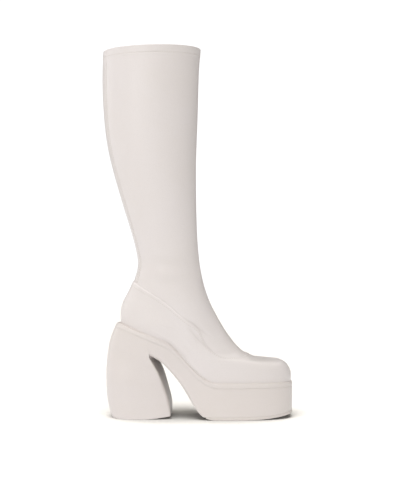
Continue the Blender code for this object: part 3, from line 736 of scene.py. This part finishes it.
COVERING, COVERING_WARM = (0.705, 0.652, 0.642), (0.688, 0.632, 0.602)
covering = leather("covering", COVERING, COVERING_WARM, cell=0.8, depth=0.05, gloss=0.42, dust=0.04)
rand_rows = [(drop, inset, (LEDGE_BACK + RAND_FLARE * share, LEDGE_TOE, LEDGE_SIDE))
             for drop, inset, share in RAND_BEAD]
rand_rows += [(drop, inset, (0.0, 0.0, 0.0)) for drop, inset in RAND_COVE]
rand_skin = []
for drop, inset, margins in rand_rows:
    outer, inner = (side_line(side, margins, inset, stations=RAND_STATIONS) for side in (OUTER, INNER))
    x, y = (np.concatenate([there, back[-2:0:-1]]) for there, back in zip(outer, inner))
    if drop < COVE_FOOT:
        drop = COVE_FOOT + (drop - COVE_FOOT) * (1 - smoothstep(*COVE_END_X, x))
    rand_skin.append(placed(x, y, seat(x) - drop))
rand = skin_from("rand_strip", np.array(rand_skin), covering, "sole_covering", sharp=60)
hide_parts("rand")

# Platform
# Light core under the forefoot and arch, wrapped in the same covering, which turns round its lower edge in a
# wide bend at the arch and a tight one along the forefoot.

JOINT_X, JOINT_SKEW, JOINT_GAP = -60.4, 0.08, 0.02
TOE_SPRING, TOE_SPRING_START_X, OUTSOLE_THICK = 6.0, 55.0, 4.0
ARCH_LINE = np.array([
    (-66.0, 82.0), (-49.5, 74.0), (-35.0, 59.6), (-20.0, 40.0),
    (-8.5, 20.8), (2.0, 7.0), (14.0, 0.9), (26.0, 0.0),
])
ARCH_BEND, FOREFOOT_BEND, BEND_TURN_X = 5.2, 0.35, (-14.0, 10.0)  # radii of the lower edge, and their change
SOLE_MARGINS = (LEDGE_BACK + RAND_FLARE, LEDGE_TOE, LEDGE_SIDE)
BEND_ROWS, WALL_ROWS = 8, 14
WALL_ROUND = 0.4  # height of the round under the rand
# That round, and the step behind it that the rand is set into: drop below the seat line, and inset
RAND_STEP = ((6.16, 0.02), (6.08, 0.14), (6.05, 0.4), (6.05, RAND_WIDE + 0.3), (0.4, RAND_WIDE + 0.3))


def arch(x):
    """Height of the underside between heel and forefoot: a spline down to the floor."""
    heights = spline(ARCH_LINE[:, 0], ARCH_LINE[:, 1], np.minimum(x, ARCH_LINE[-1, 0]))
    return np.maximum(heights, 0.0)


def toe_spring(x):
    """How far the sole has left the floor: a parabola that starts under the ball."""
    return TOE_SPRING * np.maximum((x - TOE_SPRING_START_X) / (SOLE_TOE_X - TOE_SPRING_START_X), 0.0) ** 2


def platform_under(x):
    """Underside of the platform: the arch, then the top of the outsole."""
    return np.maximum(arch(x), OUTSOLE_THICK + toe_spring(x))


def inward_from(x, y, side):
    """Unit normals of a plan line that point into the piece: its tangent turned by a right angle."""
    dx, dy = np.gradient(x), np.gradient(y)
    return np.stack([side * dy, -side * dx]) / np.hypot(dx, dy)


def platform_walls():
    """Walls of the platform: a quarter circle up from the underside, wider where that is steep, the plain
    wall, a small round under the rand and the step behind it."""
    both = []
    for side in (OUTER, INNER):
        edge_x, edge_y = side_line(side, SOLE_MARGINS, 0.0, JOINT_X + JOINT_GAP, JOINT_SKEW)
        inward = inward_from(edge_x, edge_y, side)
        inward[:, -1] = -1.0, 0.0
        inward[0, 0] = 0.0
        radius = FOREFOOT_BEND + (ARCH_BEND - FOREFOOT_BEND) * (1 - smoothstep(*BEND_TURN_X, edge_x))
        steep = np.hypot(1.0, np.gradient(platform_under(edge_x), edge_x))
        top = seat(edge_x) - RAND_HIGH - WALL_ROUND
        lines = []
        for turn in np.linspace(0, np.pi / 2, BEND_ROWS):
            inset = radius * (1 - np.sin(turn))
            x, y = edge_x + inset * inward[0], edge_y + inset * inward[1]
            z = np.minimum(platform_under(x) + radius * (1 - np.cos(turn)) * steep, top)
            lines.append(placed(x, y, z))
        bend_top = lines[-1][:, 2]
        for share in np.linspace(0, 1, WALL_ROWS)[1:]:
            lines.append(placed(edge_x, edge_y, bend_top + share * (top - bend_top)))
        for drop, inset in RAND_STEP:
            x, y = edge_x + inset * inward[0], edge_y + inset * inward[1]
            lines.append(placed(x, y, seat(x) - drop))
        both.append(np.stack(lines, axis=1))
    return both


platform = block_from("platform_block", platform_walls(), covering, "sole_covering", sharp=45)
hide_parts("platform")

# Heel
# Moulded block wrapped in the covering: round at the back, with a hollowed front face whose corners are
# softest halfway up, and a base that lifts a little towards that face.

# Sections from the floor to the rand: height, back line, how far the front face is ahead of the joint on the
# outer side, how much of the joint's skew it keeps, and half width
HEEL_SECTIONS = np.array([
    (0.0, -112.6, 27.3, 0.1, 33.0),
    (20.0, -118.2, 25.1, 0.3, 33.8),
    (40.0, -120.0, 18.7, 0.4, 34.4),
    (60.0, -120.2, 10.3, 0.7, 34.8),
    (77.5, -119.0, 0.0, 1.0, 35.2),  # top of the front face
    (103.0, -114.3, 0.0, 1.0, 35.6),
    (115.8, -109.4, 0.0, 1.0, 36.0),
])
FACE_SECTIONS = 5
HEEL_SQUARE, HEEL_WIDEST, HEEL_TAPER = 2.5, 0.5, 0.12  # plan: power at the back, widest place, taper
HEEL_CORNERS = ((0.05, 1.8), (0.18, 4.5), (0.45, 4.5), (0.66, 3.0), (0.80, 1.8))  # share of height, radius
HEEL_LIFT, HEEL_LIFT_START, HEEL_LIFT_POWER = 3.8, 0.55, 1.5
HEEL_BLEND = (0.40, 0.77)  # shares of its height between which it takes on the sole's outline
HEEL_BASE_BEND, BASE_BEND_ROWS = 0.8, 5
HEEL_ROWS, HEEL_WALL_TOP = 56, 0.994  # of its wall: rows, and share of the height where they end
HEEL_ALONG = (1 - np.cos(np.linspace(0, np.pi, 110))) / 2  # stations, gathered towards back and front
SOLE_DENSE, SOLE_GROWING = 1500, 1000  # points of the sole's line, and those where x surely grows
ROUNDS = 12  # rounds to settle a place and a height that depend on each other
# Painted shade on the front face, which lies in shadow under the arch: how strong, where it begins along
# # the heel, and the height at which it ends
FACE_PAINTED_SHADE, FACE_ALONG, FACE_TOP = 3.3, (0.975, 0.998), (70.0, 78.0)


def sole_line(side, inset):
    """Dense plan line of the sole's edge, and where the plane between heel and platform crosses it."""
    x, y = side_line(side, SOLE_MARGINS, inset, stations=SOLE_DENSE)
    ahead = x - JOINT_X - JOINT_SKEW * y
    return x, y, np.interp(0.0, ahead[:SOLE_GROWING], x[:SOLE_GROWING])


def heel_top(side, inset):
    """Plan line of the heel's top from the back to the joint."""
    x, y, joint = sole_line(side, inset)
    place = x[0] + HEEL_ALONG * (joint - JOINT_GAP - x[0])
    return place, np.interp(place, x, y)


def heel_line(share, side):
    """One side of the heel at a share of its height: a superellipse at the back, tapered to the front face
    with round corners, which turns into the sole's outline at the top."""
    heights, backs, aheads, skews, halves = HEEL_SECTIONS.T
    joint, joint_here = sole_line(OUTER, 0.0)[2], sole_line(side, 0.0)[2]
    back, ahead = JOINT_X, 0.0
    for _ in range(ROUNDS):
        back = spline(heights, backs, np.array([share * (seat(back) - RAND_HIGH)]))[0]
        face_z = np.minimum(share * (seat(joint + ahead) - RAND_HIGH), heights[FACE_SECTIONS - 1])
        ahead = spline(heights[:FACE_SECTIONS], aheads[:FACE_SECTIONS], np.array([face_z]))[0]
    level = share * heights[-1]
    front = joint + np.interp(level, heights, skews) * (joint_here - joint) + ahead - JOINT_GAP
    top_x, top_y = heel_top(side, 0.0)
    along = (top_x - top_x[0]) / (top_x[-1] - top_x[0])
    x = back + along * (front - back)
    rear = np.clip(1 - along / HEEL_WIDEST, 0.0, 1.0)
    fore = np.clip((along - HEEL_WIDEST) / (1 - HEEL_WIDEST), 0.0, 1.0)
    width = np.interp(level, heights, halves) * (1 - rear**HEEL_SQUARE) ** (1 / HEEL_SQUARE)
    radius = np.interp(share, *np.array(HEEL_CORNERS).T)
    into_corner = np.clip(radius - (front - x), 0.0, radius)
    corner = radius - np.sqrt(np.clip(radius**2 - into_corner**2, 0.0, None))
    block = side * (width * (1 - HEEL_TAPER * fore**2) - corner)
    y = block + (top_y - block) * smoothstep(*HEEL_BLEND, share)
    lift = np.maximum((along - HEEL_LIFT_START) / (1 - HEEL_LIFT_START), 0.0)
    base = HEEL_LIFT * lift**HEEL_LIFT_POWER
    return x, y, base + share * (seat(x) - RAND_HIGH - base)


heel_walls = []
for side in (OUTER, INNER):
    lines = []
    base_x, base_y, base_z = heel_line(0.0, side)
    inward = inward_from(base_x, base_y, side)
    inward[:, 0] = 1.0, 0.0
    for turn in np.linspace(0, np.pi / 2, BASE_BEND_ROWS)[:-1]:
        inset, lift = HEEL_BASE_BEND * (1 - np.sin(turn)), HEEL_BASE_BEND * (1 - np.cos(turn))
        lines.append(placed(base_x + inset * inward[0], base_y + inset * inward[1], base_z + lift))
    lowest = HEEL_BASE_BEND / (HEEL_SECTIONS[-1, 0] - RAND_HIGH)
    for share in np.linspace(lowest, HEEL_WALL_TOP, HEEL_ROWS):
        lines.append(placed(*heel_line(share, side)))
    for drop, inset in RAND_STEP:
        x, y = heel_top(side, inset)
        lines.append(placed(x, y, seat(x) - drop))
    heel_walls.append(np.stack(lines, axis=1))
# The hollowed face gets painted shade, for the shadow it lies in under the arch, up to the joint with the
# platform
heel_z = np.concatenate([heel_walls[0][..., 2], heel_walls[1][:, ::-1, 2]], axis=1)
on_face = smoothstep(*FACE_ALONG, HEEL_ALONG)[:, None]
face_painted_shade = FACE_PAINTED_SHADE * on_face * (1 - smoothstep(*FACE_TOP, heel_z))
heel = block_from("heel_block", heel_walls, covering, "sole_covering", sharp=45, crease=face_painted_shade)
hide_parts("heel")

# Outsole
# Moulded rubber sheet glued under the forefoot, in the covering's colour, with a herringbone tread inside a
# plain border.

OUTSOLE_BACK_X, OUTSOLE_PLAY = 9.0, 0.06
# Rows of its edge from the floor up: how far they are drawn in, and share of the thickness
OUTSOLE_ROWS = ((0.9, 0.0), (0.3, 0.12), (0.0, 0.35), (0.0, 0.95), (0.15, 1.0))
TREAD_PITCH, TREAD_DEPTH, TREAD_BORDER, TREAD_SLANT = 5.0, 1.0, 5.0, 0.45
TREAD_BACK, TREAD_TOE = 8.0, 2.0  # how much wider the border is at back and toe
# Of a groove: where its flank starts and ends on a cosine across it, and the length in which it runs out
TREAD_FLANK, TREAD_RUN_OUT = (-0.25, 0.45), 1.2
TREAD_ACROSS = 130


def outsole_height(x, share):
    """Height at a share of the sheet's thickness, above an underside that follows arch and toe spring."""
    low, high = arch(x) + toe_spring(x), OUTSOLE_THICK - OUTSOLE_PLAY + toe_spring(x)
    return low + share * (high - low)


def rubber_material():
    """Matt moulded rubber: fine spark-eroded texture, slightly darker and rougher where it is dusty."""
    material, tree, shader = surface("sole_rubber")
    dye = {"Colour": (0.69, 0.638, 0.62, 1), "Warm": (0.67, 0.615, 0.58, 1), "Drift": 0.6, "Dust": 0.15}
    tone = node(tree, "Group", dye, node_tree=TONE).outputs
    pits = noise(tree, node(tree, "TexCoord").outputs["Object"], scale=1500.0, detail=4.0)
    finished(tree, shader, tone["Colour"], tone["Matt"], (0.58, 0.76), pits, strength=0.5, depth=0.08)
    return material


outsole_walls = walls(OUTSOLE_ROWS, outsole_height, SOLE_MARGINS, OUTSOLE_BACK_X)
across = np.linspace(1, 0, TREAD_ACROSS)[None, 1:-1, None]
outer_edge, inner_edge = outsole_walls[0][:, :1], outsole_walls[1][:, :1]
tread = outer_edge + (inner_edge - outer_edge) * across
tread_x = tread[..., 0] + BOOT_MIDDLE_X
side_gap = np.minimum(across, 1 - across)[..., 0] * np.linalg.norm(inner_edge - outer_edge, axis=-1)
end_gap = np.minimum(tread_x - OUTSOLE_BACK_X - TREAD_BACK, SOLE_TOE_X - TREAD_TOE - tread_x)
inside_border = smoothstep(0.0, TREAD_RUN_OUT, np.minimum(side_gap, end_gap) - TREAD_BORDER)
slanted = tread_x + TREAD_SLANT * np.abs(tread[..., 1] - TOE_SWING / 2)
groove = smoothstep(*TREAD_FLANK, np.cos(2 * np.pi * slanted / TREAD_PITCH)) * inside_border
tread[..., 2] = outsole_height(tread_x, 0.0) + TREAD_DEPTH * groove
outsole = block_from(
    "outsole_sheet", outsole_walls, rubber_material(), "outsole_rubber", sharp=50, under=tread)
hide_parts("outsole")

# Studio
# A white sweep in a tent of soft light, brightest in front and above, with lamps on the heel's side. A long
# lens looks at the boot's outer side, level with its middle.

CAMERA_PLACE = (11.15, -1550.0, 228.8)
LENS = 89.4
camera = shown("camera", bpy.data.cameras.new("camera"))
camera.data.lens = LENS
camera.location = np.array(CAMERA_PLACE) * MM
camera.rotation_euler = (np.pi / 2, 0, 0)
bpy.context.scene.camera = camera
bpy.context.scene.view_settings.view_transform = "Standard"

FLOOR_HALF = 3.0  # metres
PAPER, PAPER_BOUNCE = (0.60, 0.581, 0.555), (0.52, 0.52, 0.52)  # for the lens, and for the light it throws
# How far the boot darkens the paper beside it and how much at most, the share of open sky from which it
# stays clear, and where that sky lies: behind the boot, so that the shade shows in front of it
CONTACT_REACH, CONTACT_LEAST, CONTACT_CLEAR, CONTACT_LEAN = 90.0, 0.5, 0.66, (0.0, 0.6, 0.8)
floor_mesh = bpy.data.meshes.new("floor")
floor_corners = FLOOR_HALF * np.array([(-1, -1, 0), (1, -1, 0), (1, 1, 0), (-1, 1, 0)])
floor_mesh.from_pydata(floor_corners.tolist(), [], [(0, 1, 2, 3)])
floor = shown("floor", floor_mesh)
paper, sheet, paper_shader = surface("white_paper")
to_lens = node(sheet, "LightPath").outputs["Is Camera Ray"]
open_sky = node(sheet, "AmbientOcclusion", {
    "Distance": CONTACT_REACH * MM,
    "Normal": node(sheet, "CombineXYZ", dict(enumerate(CONTACT_LEAN))).outputs[0],
}, samples=8).outputs["AO"]
clear = maths(sheet, "MAXIMUM", mask(sheet, open_sky, start=0.0, end=CONTACT_CLEAR), CONTACT_LEAST)
shaded = blended(sheet, clear, (0, 0, 0, 1), (*PAPER, 1))
sheet.links.new(blended(sheet, to_lens, (*PAPER_BOUNCE, 1), shaded), paper_shader.inputs["Base Color"])
paper_shader.inputs["Roughness"].default_value = 0.9
floor_mesh.materials.append(paper)

# Light of the tent, how it grows towards the heel's side, the front and the top, and what the lens sees
TENT, FROM_HEEL, FROM_FRONT, FROM_ABOVE = 0.33, 0.06, 0.22, 0.15
DIMMEST, TENT_SEEN = 0.08, 1.1
TENT_COLOUR, TENT_COLOUR_SEEN = (1.0, 0.98, 0.90), (1.0, 1.0, 1.0)
world = bpy.data.worlds.new("tent")
bpy.context.scene.world = world
world.use_nodes = True
sky = world.node_tree
direction = node(sky, "SeparateXYZ", {0: node(sky, "TexCoord").outputs["Generated"]}).outputs
light = TENT
for along_axis, growth in zip(direction, (-FROM_HEEL, -FROM_FRONT, FROM_ABOVE)):
    light = maths(sky, "MULTIPLY_ADD", along_axis, growth, light)
light = maths(sky, "MAXIMUM", light, DIMMEST)
seen = node(sky, "LightPath").outputs["Is Camera Ray"]
strength = node(sky, "Mix", {0: seen, 2: light, 3: TENT_SEEN}, data_type="FLOAT").outputs[0]
sky.links.new(strength, sky.nodes["Background"].inputs["Strength"])
tent_colour = blended(sky, seen, (*TENT_COLOUR, 1), (*TENT_COLOUR_SEEN, 1))
sky.links.new(tent_colour, sky.nodes["Background"].inputs["Color"])


def soft_light(name, towards, strength, angle):
    """Far, wide lamp that shines from the side that towards points to. angle is its width in degrees."""
    lamp = shown(name, bpy.data.lights.new(name, "SUN"))
    lamp.data.energy = strength
    lamp.data.angle = np.radians(angle)
    x, y, z = towards
    lamp.rotation_euler = (np.arctan2(np.hypot(x, y), z), 0.0, np.arctan2(x, -y))
    return lamp


KEY_SIZE, KEY_PLACE, KEY_STRENGTH = (0.6, 0.8), (-0.40, -0.90, 0.60), 2.2  # metres, and watts
KEY_TILT, KEY_TURN = 68, -22  # degrees, from straight down
key = shown("key_light", bpy.data.lights.new("key_light", "AREA"))
key.data.shape = "RECTANGLE"
key.data.size, key.data.size_y = KEY_SIZE
key.data.energy = KEY_STRENGTH
key.location = KEY_PLACE
key.rotation_euler = (np.radians(KEY_TILT), 0.0, np.radians(KEY_TURN))
boot_lights = [
    key,
    soft_light("top_light", towards=(0.0, 0.0, 1.0), strength=1.8, angle=90),
    soft_light("heel_light", towards=(-0.75, -0.25, 0.60), strength=0.24, angle=40),
    soft_light("rim_light", towards=(-0.85, 0.50, 0.12), strength=0.42, angle=40),
]
# The paper has two lamps of its own: one shadowed by the low pieces only, and a weak one without shadow
floor_light = soft_light("floor_light", towards=(-0.10, -0.41, 0.94), strength=5.1, angle=46)
floor_fill = soft_light("floor_fill", towards=(0.0, 0.0, 1.0), strength=0.33, angle=20)
floor_fill.data.use_shadow = False


def gathered(name, *members):
    """New collection of objects, for the lamps to light or leave out."""
    collection = bpy.data.collections.new(name)
    for member in members:
        collection.objects.link(member)
    return collection


floor_light.light_linking.blocker_collection = gathered("low_pieces", foot, rand, platform, heel, outsole)
lit_floor, unlit_floor = gathered("lit_floor", floor), gathered("unlit_floor", floor)
for lamp in (floor_light, floor_fill):
    lamp.light_linking.receiver_collection = lit_floor
unlit_floor.collection_objects[0].light_linking.link_state = "EXCLUDE"
for lamp in boot_lights:
    lamp.light_linking.receiver_collection = unlit_floor
